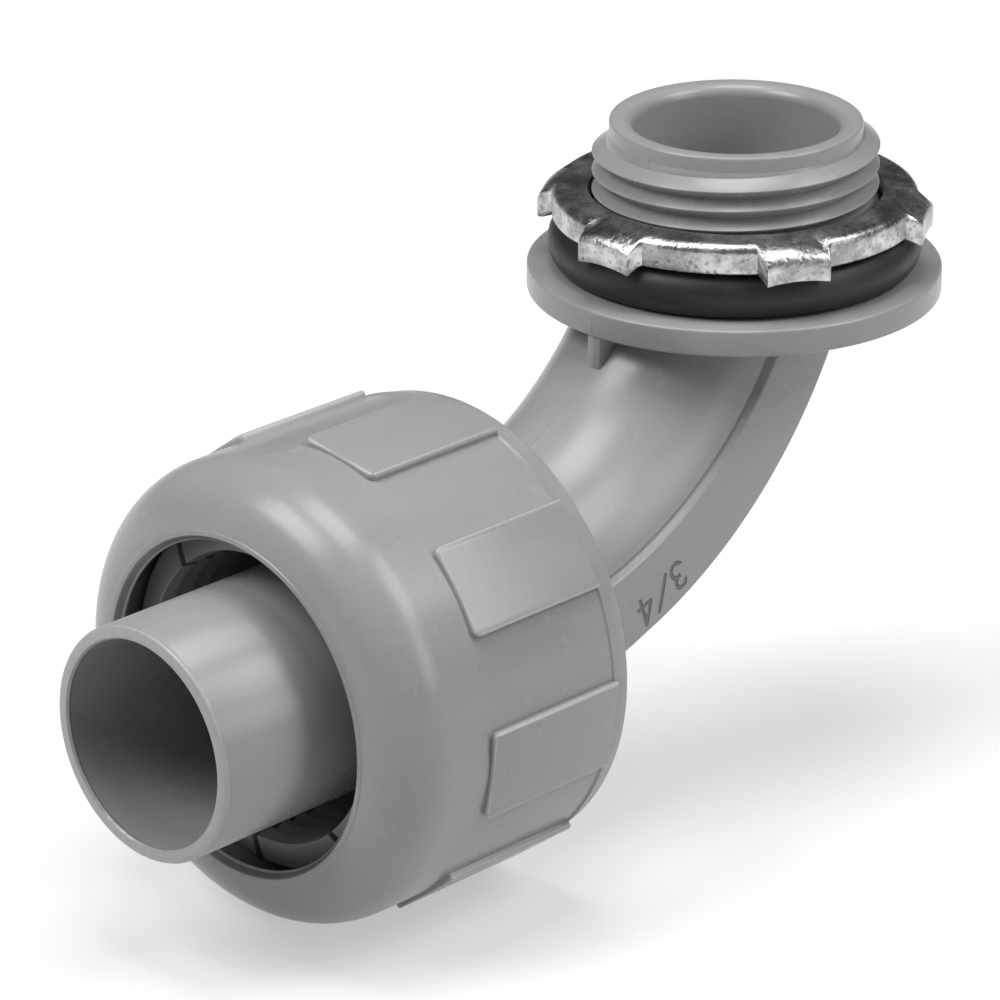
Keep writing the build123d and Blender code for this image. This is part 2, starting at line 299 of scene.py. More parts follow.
class Finish:
    """One Principled material with helpers that read Object coordinates."""

    def __init__(self, name):
        self.material = bpy.data.materials.new(name)
        self.material.use_nodes = True
        self.tree = self.material.node_tree
        self.shader = self.tree.nodes["Principled BSDF"]
        self.base = Sock(self.tree, 0.0)
        place = self.base.node("ShaderNodeTexCoord").outputs["Object"]
        self.place = Sock(self.tree, place)

    def set(self, **values):
        """Sets constants or links on the shader's own sockets."""
        for key, value in values.items():
            socket = self.shader.inputs[key.replace("_", " ")]
            if isinstance(value, Sock):
                self.tree.links.new(value.value, socket)
            else:
                socket.default_value = value

    def noise(self, scale, detail=3.0, roughness=0.5, stretch=(1, 1, 1)):
        """Noise in the object's own space; scale is in features per metre."""
        mapped = self.base.node("ShaderNodeMapping", (), Vector=self.place, Scale=stretch)
        made = self.base.node(
            "ShaderNodeTexNoise", (), Vector=mapped.outputs[0], Scale=scale, Detail=detail,
            Roughness=roughness,
        )
        return Sock(self.tree, made.outputs[0])

    def cells(self, scale):
        """Distance to the nearest cell's middle, in the object's own space."""
        made = self.base.node("ShaderNodeTexVoronoi", (), Vector=self.place, Scale=scale)
        return Sock(self.tree, made.outputs["Distance"])

    def mix(self, factor, first, second):
        """Two colours mixed by a value."""
        made = self.base.node("ShaderNodeMix", {"data_type": "RGBA"}, i0=factor)
        self._colour(made.inputs[6], first)
        self._colour(made.inputs[7], second)
        return Sock(self.tree, made.outputs[2])

    def _colour(self, socket, value):
        if isinstance(value, Sock):
            self.tree.links.new(value.value, socket)
        else:
            socket.default_value = (*value[:3], 1)

    def bump(self, height):
        """A bump from a height in millimetres."""
        made = self.base.node("ShaderNodeBump", (), Height=height, Strength=1.0, Distance=MM)
        self.tree.links.new(made.outputs[0], self.shader.inputs["Normal"])

    def axes(self):
        """The object's own X, Y and Z in millimetres."""
        split = self.base.node("ShaderNodeSeparateXYZ", (), Vector=self.place)
        return [Sock(self.tree, output) * (1 / MM) for output in split.outputs]

    def about_nut(self):
        """Sideways, along and up from the nut's axis and the radius from it, in millimetres."""
        side, along, height = self.axes()
        level = height + AXIS_DROP / MM
        return side, along * -1.0, level, (side ** 2.0 + level ** 2.0).maths("SQRT")

    def stroke(self, across, up, start, end):
        """Distance from a straight stroke between two points."""
        run = end[0] - start[0]
        rise = end[1] - start[1]
        off_across = across - start[0]
        off_up = up - start[1]
        share = ((off_across * run + off_up * rise) / (run * run + rise * rise)).clip()
        gap_across = off_across - share * run
        gap_up = off_up - share * rise
        return (gap_across ** 2.0 + gap_up ** 2.0).maths("SQRT")

    def bowl(self, across, up, middle, radius, side):
        """Distance from a round stroke, open on the left towards the glyph's middle."""
        off_across = across - middle[0]
        off_up = up - middle[1]
        ring = ((off_across ** 2.0 + off_up ** 2.0).maths("SQRT") - radius).maths("ABSOLUTE")
        open_part = (off_across * -1.0).maths("MINIMUM", off_up * -side + radius * 0.5)
        return ring.maths("MAXIMUM", open_part)


def shade(colour, factor):
    """A colour made lighter or darker by a factor."""
    return tuple(min(1.0, channel * factor) for channel in colour)


def size_number(finish, bend):
    """Groove of the plain size number on the bend's right-hand panel, 1 inside the strokes; it sinks the
    bump and darkens the colour as painted shade.
    """
    side, along, height = finish.axes()
    back = along * -1.0 - bend.end / MM
    rise = height - (bend.radius - AXIS_DROP) / MM
    middle = bend.number_radius / MM
    turn = rise.maths("ARCTAN2", back) + (math.tau - bend.number_angle)
    across = turn * middle
    up = (back ** 2.0 + rise ** 2.0).maths("SQRT") - middle
    strokes = [
        finish.bowl(across, up, (-2.35, 0.62), 0.6, 1.0),
        finish.bowl(across, up, (-2.35, -0.70), 0.72, -1.0),
        finish.stroke(across, up, (-1.0, -1.35), (1.0, 1.35)),
        finish.stroke(across, up, (2.75, -1.1), (2.75, 1.5)),
        finish.stroke(across, up, (2.75, 1.5), (1.55, -0.35)),
        finish.stroke(across, up, (1.55, -0.35), (3.2, -0.35)),
    ]
    nearest = strokes[0]
    for stroke in strokes[1:]:
        nearest = nearest.maths("MINIMUM", stroke)
    right = side.step(11.1, 11.3)
    return (1.0 - nearest.step(0.10, 0.24)) * right


def parting_line(finish):
    """The mould's parting line on the outside of the body, in the plane of the bend."""
    side, along, height = finish.axes()
    level = (height + AXIS_DROP / MM).maths("ABSOLUTE")
    line = 1.0 - side.maths("ABSOLUTE").step(0.03, 0.10)
    # The wall of the hub and of the spigot lies outside this radius
    wall = (10.0, 10.2)
    in_hub = height.step(-1.2, -1.0) * (1.0 - along.maths("ABSOLUTE").step(*wall))
    in_spigot = (along * -1.0).step(40.0, 40.2) * (1.0 - level.step(*wall))
    return line * (1.0 - in_hub) * (1.0 - in_spigot)


def pad_rim_highlight(finish, nut):
    """Painted highlight round the rim on the top of every grip pad."""
    side, forward, level, radius = finish.about_nut()
    period = math.tau / nut.pads
    turn = side.maths("ARCTAN2", level) + (period * 1.5 - PAD_START)
    off = (turn.maths("FLOORED_MODULO", period) - period / 2).maths("ABSOLUTE")
    across = off * ((nut.shoulder + nut.pad_height) / MM) - nut.pad_width / 2 / MM
    ahead = forward - (nut.rear + nut.lip_width + nut.pad_length) / MM
    edge = across.maths("MAXIMUM", ahead)
    outer = radius.step(nut.shoulder / MM + 0.3, nut.shoulder / MM + 0.4)
    return edge.step(-0.30, -0.18) * (1.0 - edge.step(0.05, 0.10)) * outer


def throat_highlight_and_shade(finish, nut):
    """Painted highlight on the nut's throat edge and painted shade on the cone just outside it: both are 1
    where they show.
    """
    _, forward, _, radius = finish.about_nut()
    throat = THROAT / MM
    near = forward.step(nut.front / MM - 1.1, nut.front / MM - 1.0)
    throat_highlight = (1.0 - radius.step(throat + 0.1, throat + 0.14)) * near
    throat_shade = radius.step(throat + 0.12, throat + 0.16) * (1.0 - radius.step(throat + 0.42, throat + 0.48))
    return throat_highlight, throat_shade * near


def moulded_plastic(name, colour, gloss, bend=None, nut=None):
    """Satin moulded plastic with flow marks, grain and scuffs, the bend's number and worn mouth, and painted
    shade and highlights on the number and the nut.
    """
    finish = Finish(name)
    flow = finish.noise(120.0, 3.0, 0.55, (1.0, 0.35, 1.0))
    grain = finish.noise(2600.0, 2.0, 0.6)
    scuff = finish.noise(420.0, 5.0, 0.65).step(0.60, 0.74)
    height = grain * 0.0075 + flow * 0.014
    tone = finish.mix((flow * 1.4 - 0.2).clip(), shade(colour, 0.90), shade(colour, 1.09))
    tone = finish.mix(scuff * 0.35, tone, shade(colour, 1.25))
    if bend is not None:
        groove = size_number(finish, bend)
        height = height + parting_line(finish) * 0.03 - groove * 0.2
        # Painted shade in the number's groove: its base colour darkened
        tone = finish.mix(groove * 0.85, tone, shade(colour, 0.3))
        mouth = bend.spigot_end / MM
        worn = finish.about_nut()[1].step(mouth - 0.45, mouth - 0.25)
        tone = finish.mix(worn * (scuff * 0.4 + 0.4), tone, shade(colour, 1.5))
        height = height + worn * finish.noise(900.0, 3.0, 0.6) * 0.12
    if nut is not None:
        throat_highlight, throat_shade = throat_highlight_and_shade(finish, nut)
        # Painted shade on the cone inside the nut's mouth: base colour darkened
        tone = finish.mix(throat_shade * 0.8, tone, shade(colour, 0.5))
        # Painted highlights: the throat edge and the pad rims made lighter
        tone = finish.mix((throat_highlight + pad_rim_highlight(finish, nut)).clip() * 0.8, tone, shade(colour, 1.5))
    finish.set(Base_Color=tone)
    finish.set(Roughness=(flow * 0.16 + scuff * 0.10 + (gloss - 0.08)).clip())
    finish.set(IOR=1.5)
    finish.bump(height)


def sealing_rubber(name, colour):
    """Smooth black rubber with a dusty bloom."""
    finish = Finish(name)
    bloom = finish.noise(260.0, 4.0, 0.6)
    finish.set(Base_Color=finish.mix(bloom.step(0.45, 0.8) * 0.5, colour, shade(colour, 1.9)))
    finish.set(Roughness=bloom * 0.25 + 0.36)
    finish.set(IOR=1.45)
    finish.bump(finish.noise(1500.0, 3.0) * 0.0125)


def zinc_plate(name, colour):
    """Zinc plated steel: mottled, speckled and slightly pitted."""
    finish = Finish(name)
    cloud = finish.noise(330.0, 5.0, 0.7)
    speck = finish.cells(1500.0).step(0.10, 0.42)
    pit = finish.noise(1900.0, 4.0, 0.75)
    dark = finish.mix(cloud.step(0.35, 0.66), shade(colour, 0.42), colour)
    finish.set(Base_Color=finish.mix(speck * 0.55 + 0.45, shade(colour, 0.30), dark))
    finish.set(Metallic=1.0)
    finish.set(Roughness=(cloud * 0.22 + pit * 0.18 + 0.10).clip())
    finish.bump(pit * 0.053 + speck * 0.022 + cloud * 0.035)


# Mesh helpers


def finish_mesh(name, bm, body, material, nodes=()):
    """Turns a bmesh into a piece: shaded by angle, with its finish, on its body."""
    bmesh.ops.remove_doubles(bm, verts=bm.verts, dist=1e-7)
    bmesh.ops.recalc_face_normals(bm, faces=bm.faces)
    mesh = bpy.data.meshes.new(name)
    for face in bm.faces:
        face.smooth = True
    for edge in bm.edges:
        if len(edge.link_faces) == 2 and edge.calc_face_angle(0) > SHARP_ANGLE:
            edge.smooth = False
    bm.to_mesh(mesh)
    bm.free()
    piece = bpy.data.objects.new(name, mesh)
    bpy.context.scene.collection.objects.link(piece)
    mesh.materials.append(material)
    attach(piece, body)
    if nodes:
        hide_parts(*nodes)


def join_into(target, source):
    """Adds one bmesh's geometry to another and frees it."""
    mesh = bpy.data.meshes.new("joined")
    source.to_mesh(mesh)
    source.free()
    target.from_mesh(mesh)
    bpy.data.meshes.remove(mesh)


def corner(before, at, after, radius, steps=5):
    """Points that round the corner at a point, tangent to both of its sides."""
    start = (Vector(before) - Vector(at)).normalized()
    end = (Vector(after) - Vector(at)).normalized()
    half = start.angle(end) / 2
    reach = radius / math.tan(half)
    centre = Vector(at) + (start + end).normalized() * (radius / math.sin(half))
    first = Vector(at) + start * reach - centre
    last = Vector(at) + end * reach - centre
    turn = first.angle_signed(last)
    points = []
    for index in range(steps + 1):
        point = first.copy()
        point.rotate(Matrix.Rotation(-turn * index / steps, 2))
        points.append(tuple(centre + point))
    return points


def rounded(points, radii, steps=5, closed=True):
    """An outline with each corner rounded by its own radius; 0 keeps a corner sharp."""
    out = []
    count = len(points)
    for index, (at, radius) in enumerate(zip(points, radii)):
        if radius == 0 or (not closed and index in (0, count - 1)):
            out.append(tuple(at))
        else:
            out += corner(points[index - 1], at, points[(index + 1) % count], radius, steps)
    return out


def lathe(outline, place, centre, axis, steps, closed=True):
    """Spins an outline of (radius, height) points about an axis."""
    bm = bmesh.new()
    verts = [bm.verts.new(place(radius, height)) for radius, height in outline]
    edges = [bm.edges.new(pair) for pair in zip(verts, verts[1:])]
    if closed:
        edges.append(bm.edges.new((verts[-1], verts[0])))
    bmesh.ops.spin(
        bm, geom=verts + edges, cent=centre, axis=axis, angle=math.tau, steps=steps, use_merge=True
    )
    return bm


def at_hub(radius, height):
    """A point of a hub outline, in the plane X-Z."""
    return Vector((radius, 0, height))


def at_nut(radius, distance):
    """A point of a nut outline, straight above the nut's axis."""
    return Vector((0, -distance, radius - AXIS_DROP))


def screw_ridge(section, place, centre, axis, pitch, turns, steps_per_turn, fade_turns, root):
    """A helical ridge: its section spun and moved along the axis, sunk at both ends."""
    bm = bmesh.new()
    verts = [bm.verts.new(place(radius, height)) for radius, height in section]
    face = bm.faces.new(verts)
    steps = int(turns * steps_per_turn)
    bmesh.ops.spin(
        bm, geom=[face], cent=centre, axis=axis, angle=math.tau * turns, steps=steps,
        dvec=axis * (pitch / steps_per_turn), use_merge=False,
    )
    first = place(1, 0) - place(0, 0)
    across = axis.cross(first)
    middle = (section[0][1] + section[-1][1]) / 2
    for vert in bm.verts:
        spoke = vert.co - centre
        along = spoke.dot(axis)
        spoke -= axis * along
        part = math.atan2(spoke.dot(across), spoke.dot(first)) / math.tau % 1
        travelled = part + round((along - middle) / pitch - part)
        share = min(1.0, max(0.0, min(travelled, turns - travelled) / fade_turns))
        if spoke.length > root:
            wanted = root + (spoke.length - root) * share
            vert.co = centre + axis * along + spoke * (wanted / spoke.length)
    return bm


# The pieces


def hub_outline(sizes):
    """Half section of the hub and the flange, from the bore outwards."""
    top = sizes.height
    base = top - sizes.nose_height
    root = sizes.crest - sizes.depth
    points = [
        (sizes.bore, top),
        (sizes.nose, top),
        (sizes.nose, base + 0.5 * MM),
        (root, base),
        (root, sizes.neck + 0.5 * MM),
        (sizes.crest - 0.3 * MM, sizes.neck),
        (sizes.crest - 0.3 * MM, 0),
        (sizes.flange, 0),
        (sizes.flange, -sizes.flange_depth),
        (sizes.bore, -sizes.flange_depth),
    ]
    radii = [1.1 * MM, 0.3 * MM, 0.3 * MM, 0, 0, 0, 0.15 * MM, 0.28 * MM, 0.3 * MM, 0]
    return rounded(points, radii, 6)


def bend_section(sizes):
    """Outline of the bend's section: a round tube with a flat panel on each side."""
    tube = sizes.tube
    low = sizes.panel_inner - sizes.radius
    high = sizes.panel_outer - sizes.radius
    half = sizes.panel
    start = math.asin((low - 0.75 * MM) / tube)
    stop = math.asin((high + 0.1 * MM) / tube)
    side = [
        (tube * math.cos(start) - 0.12 * MM, low - 0.45 * MM), (half - 0.12 * MM, low - 0.05 * MM),
        (half - 0.02 * MM, low + 0.9 * MM), (half, high), (half - 1.1 * MM, high),
    ]
    flat = [side[0]] + corner(side[0], side[1], side[2], 0.4 * MM, 4)
    flat += corner(side[2], side[3], side[4], 0.3 * MM, 3)
    right = []
    steps = 22
    for index in range(steps + 1):
        angle = -math.pi / 2 + (start + math.pi / 2) * index / steps
        right.append((tube * math.cos(angle), tube * math.sin(angle)))
    right += flat
    for index in range(steps + 1):
        angle = stop + (math.pi / 2 - stop) * index / steps
        right.append((tube * math.cos(angle), tube * math.sin(angle)))
    left = [(-x, y) for x, y in reversed(right[1:-1])]
    return right + left


def bend_shell(sizes, flange_depth):
    """The bend, spun about its own centre and cut off inside the flange."""
    centre = Vector((0, -sizes.end, sizes.radius - AXIS_DROP))
    # The sweep runs on past the flange, and the cut ends it there
    sweep = math.radians(76)
    bm = bmesh.new()
    turns = [math.tau * index / 64 for index in range(64)]
    inside = [(sizes.bore * math.cos(turn), sizes.bore * math.sin(turn)) for turn in turns]
    rims = []
    for outline in (bend_section(sizes), inside):
        verts = [bm.verts.new(Vector((x, -sizes.end, centre.z - sizes.radius - out))) for x, out in outline]
        edges = [bm.edges.new(pair) for pair in zip(verts, verts[1:] + verts[:1])]
        rims += edges
    first = bmesh.ops.bridge_loops(bm, edges=rims)
    bmesh.ops.spin(
        bm, geom=first["faces"], cent=centre, axis=Vector((1, 0, 0)), angle=sweep, steps=120,
        use_merge=False,
    )
    geom = bm.verts[:] + bm.edges[:] + bm.faces[:]
    cut = bmesh.ops.bisect_plane(
        bm, geom=geom, plane_co=(0, 0, -flange_depth * 0.5), plane_no=(0, 0, 1), clear_outer=True
    )
    rim = [item for item in cut["geom_cut"] if isinstance(item, bmesh.types.BMEdge)]
    bmesh.ops.bridge_loops(bm, edges=rim)
    return bm


class CONDUIT_OT_hub_and_bend(bpy.types.Operator):
    """Build the moulded body's hub, thread, flange and bend"""

    bl_idname = "conduit.hub_and_bend"
    bl_label = "Hub and bend"

    def execute(self, context):
        hub = context.scene.conduit_hub
        bend = context.scene.conduit_bend
        up = Vector((0, 0, 1))
        bm = lathe(hub_outline(hub), at_hub, Vector(), up, 192)
        root = hub.crest - hub.depth
        half = hub.pitch / 2 - 0.04 * MM
        section = rounded(
            [(root - 0.5 * MM, -half), (root, -half), (hub.crest, 0), (root, half), (root - 0.5 * MM, half)],
            [0, 0, 0.07 * MM, 0, 0], 3,
        )
        lift = hub.neck - 0.133 * hub.pitch
        turns = (hub.height - hub.nose_height - lift) / hub.pitch
        turned = Matrix.Rotation(math.radians(-30), 3, "Z")
        ridge = screw_ridge(
            [(radius, height + lift) for radius, height in section],
            lambda radius, height: turned @ at_hub(radius, height),
            Vector(), up, hub.pitch, turns, steps_per_turn=96, fade_turns=0.1, root=root,
        )
        join_into(bm, ridge)
        join_into(bm, bend_shell(bend, hub.flange_depth))
        finish_mesh(
            "moulded_elbow", bm, "fitting", bpy.data.materials["body_plastic"], ["elbow_body"]
        )
        return {"FINISHED"}


def nut_outline(sizes):
    """Half section of the nut's shell, from the rear face round to its inside."""
    back = sizes.rear
    step = back + sizes.lip_width
    front = sizes.front
    shoulder = sizes.shoulder
    lip = shoulder - 0.2 * MM
    bead = 0.13 * MM
    thread = 17.98 * MM
    outline = [
        (thread, back), (lip - 0.35 * MM, back), (lip - 0.1 * MM, back + 0.1 * MM),
        (lip, back + 0.35 * MM), (lip, step - 0.22 * MM), (shoulder + 0.13 * MM, step - 0.1 * MM),
        (shoulder + 0.16 * MM, step), (shoulder + 0.1 * MM, step + 0.12 * MM), (shoulder, step + 0.2 * MM),
    ]
    centre = shoulder - sizes.dome
    last = math.acos((sizes.mouth - centre) / sizes.dome)
    middle = front - bead - sizes.dome * math.sin(last)
    for index in range(19):
        angle = last * index / 18
        outline.append((centre + sizes.dome * math.cos(angle), middle + sizes.dome * math.sin(angle)))
    outline += [
        (sizes.mouth - 0.06 * MM, front - 0.05 * MM), (sizes.mouth - 0.14 * MM, front - 0.01 * MM),
        (sizes.mouth - 0.26 * MM, front - 0.03 * MM), (sizes.mouth - 0.38 * MM, front),
        (sizes.mouth - 0.5 * MM, front - 0.02 * MM), (sizes.mouth - 0.6 * MM, front - 0.12 * MM),
        (THROAT + 0.08 * MM, front - 0.62 * MM), (THROAT, front - 0.72 * MM), (THROAT, front - 0.86 * MM),
        (THROAT + 0.08 * MM, front - 0.95 * MM), (16.6 * MM, front - 3.0 * MM), (18.2 * MM, 51.4 * MM),
        (thread, 50.4 * MM),
    ]
    return outline


def grip_pad(sizes, angle):
    """One raised pad: a flat-topped plate with rounded front corners and a rounded rim."""
    top = sizes.shoulder + sizes.pad_height
    foot = top - 1.6 * MM
    start = sizes.rear + sizes.lip_width
    end = start + sizes.pad_length
    turn = sizes.pad_width / top
    bm = bmesh.new()
    section = [(foot, start), (top, start), (top, end), (foot, end)]
    verts = [bm.verts.new(at_nut(radius, distance)) for radius, distance in section]
    face = bm.faces.new(verts)
    bmesh.ops.rotate(bm, verts=verts, cent=NUT_CENTRE, matrix=Matrix.Rotation(angle - turn / 2, 3, "Y"))
    bmesh.ops.spin(
        bm, geom=[face], cent=NUT_CENTRE, axis=Vector((0, 1, 0)), angle=turn, steps=12, use_merge=False
    )
    bmesh.ops.remove_doubles(bm, verts=bm.verts, dist=1e-7)
    bmesh.ops.recalc_face_normals(bm, faces=bm.faces)

    def radius(vert):
        return math.hypot(vert.co.x, vert.co.z + AXIS_DROP)

    # Moves the curved top's points out to one flat plane
    for vert in bm.verts:
        if radius(vert) > top - 0.05 * MM:
            off = math.atan2(vert.co.x, vert.co.z + AXIS_DROP) - angle
            stretch = (top - sizes.pad_sink) / math.cos(off) / radius(vert)
            vert.co.x *= stretch
            vert.co.z = (vert.co.z + AXIS_DROP) * stretch - AXIS_DROP

    upright = [
        edge for edge in bm.edges
        if abs(radius(edge.verts[0]) - radius(edge.verts[1])) > 1 * MM
        and all(abs(vert.co.y + end) < 1e-6 for vert in edge.verts)
        and edge.calc_face_angle(0) > 0.6
    ]
    bmesh.ops.bevel(
        bm, geom=upright, offset=0.6 * MM, offset_type="OFFSET", segments=4, profile=0.5, affect="EDGES",
        material=-1,
    )
    rim = [
        edge for edge in bm.edges
        if all(radius(vert) > top - 0.4 * MM for vert in edge.verts) and edge.calc_face_angle(0) > 0.9
    ]
    bmesh.ops.bevel(
        bm, geom=rim, offset=0.25 * MM, offset_type="OFFSET", segments=3, profile=0.5, affect="EDGES",
        material=-1,
    )
    return bm


class CONDUIT_OT_gland_and_spigot(bpy.types.Operator):
    """Build the gland under the nut, the spigot, the gusset and the wire way"""

    bl_idname = "conduit.gland_and_spigot"
    bl_label = "Gland and spigot"

    def execute(self, context):
        bend = context.scene.conduit_bend
        lip = 0.35 * MM
        front = 50.0 * MM
        socket = 13.9 * MM
        socket_end = front - 8.5 * MM
        thread_root = 16.3 * MM
        thread_crest = 17.4 * MM
        thread_pitch = 2.7 * MM
        outline = [
            (bend.spigot_bore, bend.end - 0.5 * MM),
            (bend.tube - 0.6 * MM, bend.end - 0.5 * MM),
            (thread_root, bend.end + 0.6 * MM),
        ]
        for index in range(4):
            root = bend.end + 1.0 * MM + index * thread_pitch
            outline += [(thread_root, root), (thread_crest, root + 0.9 * MM)]
            outline += [(thread_crest, root + 1.3 * MM), (thread_root, root + 2.2 * MM)]
        outline += [
            (thread_root, front), (15.6 * MM, front), (socket, front - 2.2 * MM), (socket, socket_end),
            (bend.spigot, socket_end),
            (bend.spigot, bend.spigot_end - lip),
            (bend.spigot - lip * 0.4, bend.spigot_end - lip * 0.3),
            (bend.spigot - lip, bend.spigot_end),
            (bend.spigot_bore + 0.15 * MM, bend.spigot_end),
            (bend.spigot_bore, bend.spigot_end - 0.2 * MM),
        ]
        bm = lathe(outline, at_nut, NUT_CENTRE, NUT_AXIS, 160)
        web = bmesh.new()
        thick = 0.75 * MM
        inner = 10.0 * MM
        head = 1.5 * MM
        reach = bend.gusset_reach
        foot = bend.gusset_foot
        corners = [(-inner, -head), (-reach, -head), (-reach, -foot), (-inner, -foot)]
        verts = [web.verts.new(Vector((-thick, y, z))) for y, z in corners]
        face = web.faces.new(verts)
        raised = bmesh.ops.extrude_face_region(web, geom=[face])
        lifted = [item for item in raised["geom"] if isinstance(item, bmesh.types.BMVert)]
        bmesh.ops.translate(web, verts=lifted, vec=Vector((2 * thick, 0, 0)))
        bmesh.ops.bevel(
            web, geom=web.edges[:], offset=0.15 * MM, offset_type="OFFSET", segments=2, profile=0.5,
            affect="EDGES", material=-1,
        )
        join_into(bm, web)
        finish_mesh("gland_and_spigot", bm, "fitting", bpy.data.materials["body_plastic"])
        return {"FINISHED"}


class CONDUIT_OT_compression_nut(bpy.types.Operator):
    """Build the compression nut with its grip pads"""

    bl_idname = "conduit.compression_nut"
    bl_label = "Compression nut"

    def execute(self, context):
        nut = context.scene.conduit_nut
        bm = lathe(nut_outline(nut), at_nut, NUT_CENTRE, NUT_AXIS, 192)
        for index in range(nut.pads):
            angle = PAD_START + math.tau * index / nut.pads
            join_into(bm, grip_pad(nut, angle))
        finish_mesh(
            "nut_moulding", bm, "nut", bpy.data.materials["nut_plastic"], ["compression_nut"]
        )
        return {"FINISHED"}


class CONDUIT_OT_gripping_ring(bpy.types.Operator):
    """Build the split gripping ring with its barbed fingers"""

    bl_idname = "conduit.gripping_ring"
    bl_label = "Gripping ring"

    def execute(self, context):
        rings = context.scene.conduit_rings
        bore = 13.0 * MM
        outer = 17.2 * MM
        back = 48.7 * MM
        shoulder = 51.3 * MM
        slit_end = 53.0 * MM
        front = 60.8 * MM
        barb_pitch = 2.0 * MM
        rear = [
            (bore, back), (14.15 * MM, back), (15.3 * MM, shoulder), (outer, shoulder),
            (outer, slit_end), (bore, slit_end),
        ]
        bm = lathe(rear, at_nut, NUT_CENTRE, NUT_AXIS, 128)
        finger = [
            (bore, slit_end - 0.05 * MM), (outer, slit_end - 0.05 * MM), (outer, slit_end + 0.8 * MM),
            (15.95 * MM, front - 1.0 * MM), (15.75 * MM, front - 0.78 * MM), (15.5 * MM, front - 0.66 * MM),
            (bore + 0.42 * MM, front - 0.04 * MM), (bore + 0.3 * MM, front),
            (bore + 0.22 * MM, front - 0.08 * MM), (bore + 0.05 * MM, front - 1.05 * MM),
            (bore, front - 1.2 * MM),
        ]
        for index in range(3):
            groove = front - 1.7 * MM - index * barb_pitch
            finger += [(bore, groove), (bore + 0.5 * MM, groove - 0.12 * MM), (bore, groove - 1.5 * MM)]
        gap = rings.slit / bore
        turn = math.tau / rings.fingers
        for index in range(rings.fingers):
            sector = bmesh.new()
            verts = [sector.verts.new(at_nut(radius, distance)) for radius, distance in finger]
            face = sector.faces.new(verts)
            start = math.radians(3.0) + index * turn + gap / 2
            bmesh.ops.rotate(
                sector, verts=verts, cent=NUT_CENTRE, matrix=Matrix.Rotation(start, 3, "Y")
            )
            bmesh.ops.spin(
                sector, geom=[face], cent=NUT_CENTRE, axis=Vector((0, 1, 0)), angle=turn - gap, steps=18,
                use_merge=False,
            )
            join_into(bm, sector)
        finish_mesh(
            "gripping_ring", bm, "grip", bpy.data.materials["ring_plastic"], ["clamp_ring"]
        )
        return {"FINISHED"}


class CONDUIT_OT_sealing_ring(bpy.types.Operator):
    """Build the rubber sealing ring"""

    bl_idname = "conduit.sealing_ring"
    bl_label = "Sealing ring"

    def execute(self, context):
        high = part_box("sealing_ring")[1]
        top = high.z
        outer = high.x
        rounding = 1.5 * MM
        inner = context.scene.conduit_hub.crest + 0.3 * MM
        outline = [(inner, 0.02 * MM), (outer - 1.35 * MM, 0.02 * MM)]
        steps = 15
        for index in range(steps):
            angle = -math.pi / 2 + math.pi * (index + 0.5) / steps
            radius = outer - rounding + rounding * math.cos(angle)
            outline.append((radius, top / 2 + top / 2 * math.sin(angle)))
        outline += [(outer - rounding, top), (inner + 0.3 * MM, top), (inner, top - 0.3 * MM)]
        bm = lathe(outline, at_hub, Vector(), Vector((0, 0, 1)), 160)
        finish_mesh("rubber_ring", bm, "seal", bpy.data.materials["rubber"], ["sealing_ring"])
        return {"FINISHED"}


class CONDUIT_OT_locknut(bpy.types.Operator):
    """Build the plated locknut with its bent lugs"""

    bl_idname = "conduit.locknut"
    bl_label = "Locknut"

    def execute(self, context):
        rings = context.scene.conduit_rings
        base = 4.4 * MM
        top = 7.2 * MM
        bore = 13.48 * MM
        rim = 16.8 * MM
        outline = rounded(
            [(bore, base), (rim, base), (rim, top), (bore, top)],
            [0.3 * MM, 0.3 * MM, 0.85 * MM, 0.3 * MM], 4,
        )
        # Points at most this far apart, so that the lugs can be drawn out of the ring
        spacing = 0.8 * MM
        fine = []
        for index, point in enumerate(outline):
            after = outline[(index + 1) % len(outline)]
            parts = int(math.dist(point, after) / spacing) + 1
            for part in range(parts):
                fine.append(tuple(a + (b - a) * part / parts for a, b in zip(point, after)))
        bm = lathe(fine, at_hub, Vector(), Vector((0, 0, 1)), 288)
        half = math.asin(rings.lug_width / 2 / (rim + rings.lug_reach / 2))
        for vert in bm.verts:
            radius = math.hypot(vert.co.x, vert.co.y)
            angle = math.atan2(vert.co.y, vert.co.x) + math.pi / 2 - math.radians(0.5)
            turn = math.tau / rings.lugs
            off = abs((angle + turn / 2) % turn - turn / 2)
            inside = min(1.0, max(0.0, (half + 0.018 - off) / 0.036))
            inside = inside * inside * (3 - 2 * inside)
            outer = min(1.0, max(0.0, (radius - bore - 0.6 * MM) / (rim - bore - 0.6 * MM)))
            hollow = 0.35 * MM * (1 - (off / half) ** 2) if off < half else 0.0
            reach = inside * outer ** 3 * (rings.lug_reach - hollow)
            scale = (radius + reach) / radius
            vert.co.x *= scale
            vert.co.y *= scale
            edge_lift = (off / half) ** 2 if off < half else 1.0
            vert.co.z -= inside * outer ** 2 * (0.6 + 0.35 * edge_lift) * MM
        finish_mesh("plated_locknut", bm, "lock", bpy.data.materials["zinc"], ["locknut"])
        return {"FINISHED"}


